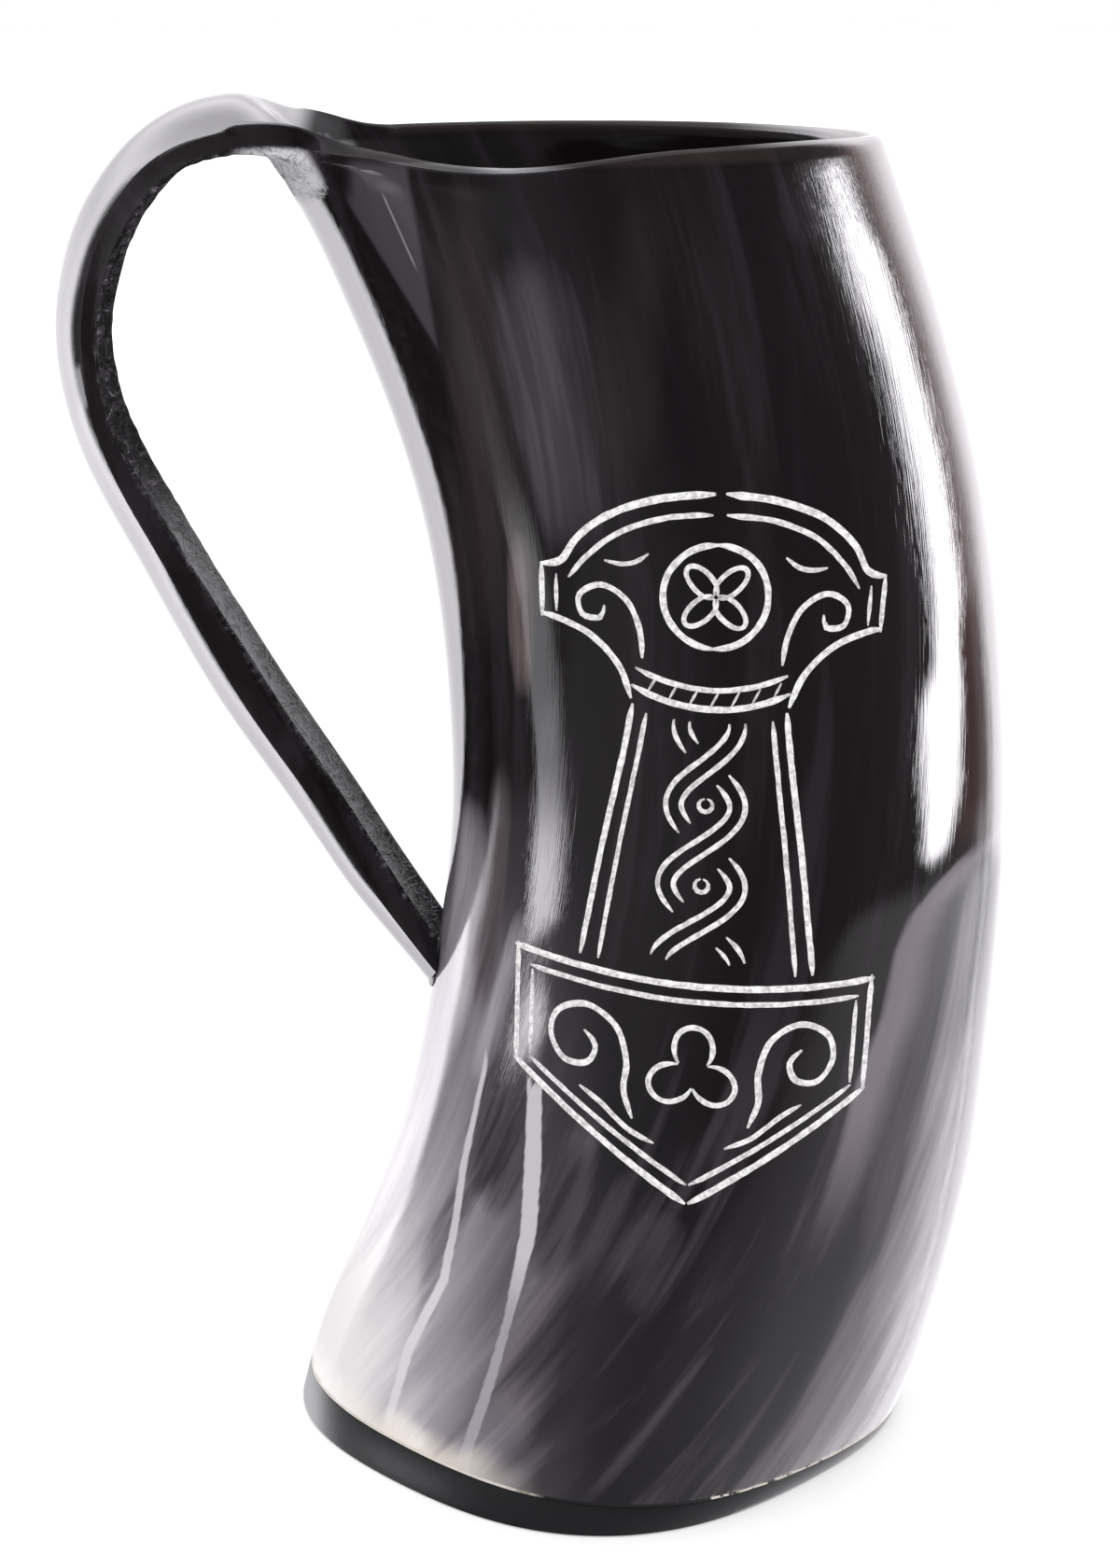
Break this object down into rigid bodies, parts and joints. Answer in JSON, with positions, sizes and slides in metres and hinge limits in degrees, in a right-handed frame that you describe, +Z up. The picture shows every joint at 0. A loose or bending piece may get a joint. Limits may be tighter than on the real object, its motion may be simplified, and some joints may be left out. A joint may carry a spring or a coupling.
{
  "type": "drinking cup",
  "caption": "Curved horn drinking cup with a strap handle bent out of its rim and a flat plate closing its foot.",
  "frame": {"origin": "centre of the underside, on the table", "axes": "+Z up out of the mouth, the handle towards -X, the decorated front towards -Y"},
  "size_m": [0.1238, 0.0792, 0.1804],
  "materials": {
    "horn": "polished dark horn",
    "strap": "polished dark horn, rough inside the loop",
    "plate": "satin black",
    "seal": "pale dried sealant",
    "glue": "clear amber glue"
  },
  "bodies": {
    "root": {"horn_body": "horn", "handle": "strap", "base_plate": "plate", "base_seal": "seal", "tip_glue": "glue"}
  },
  "joints": []
}
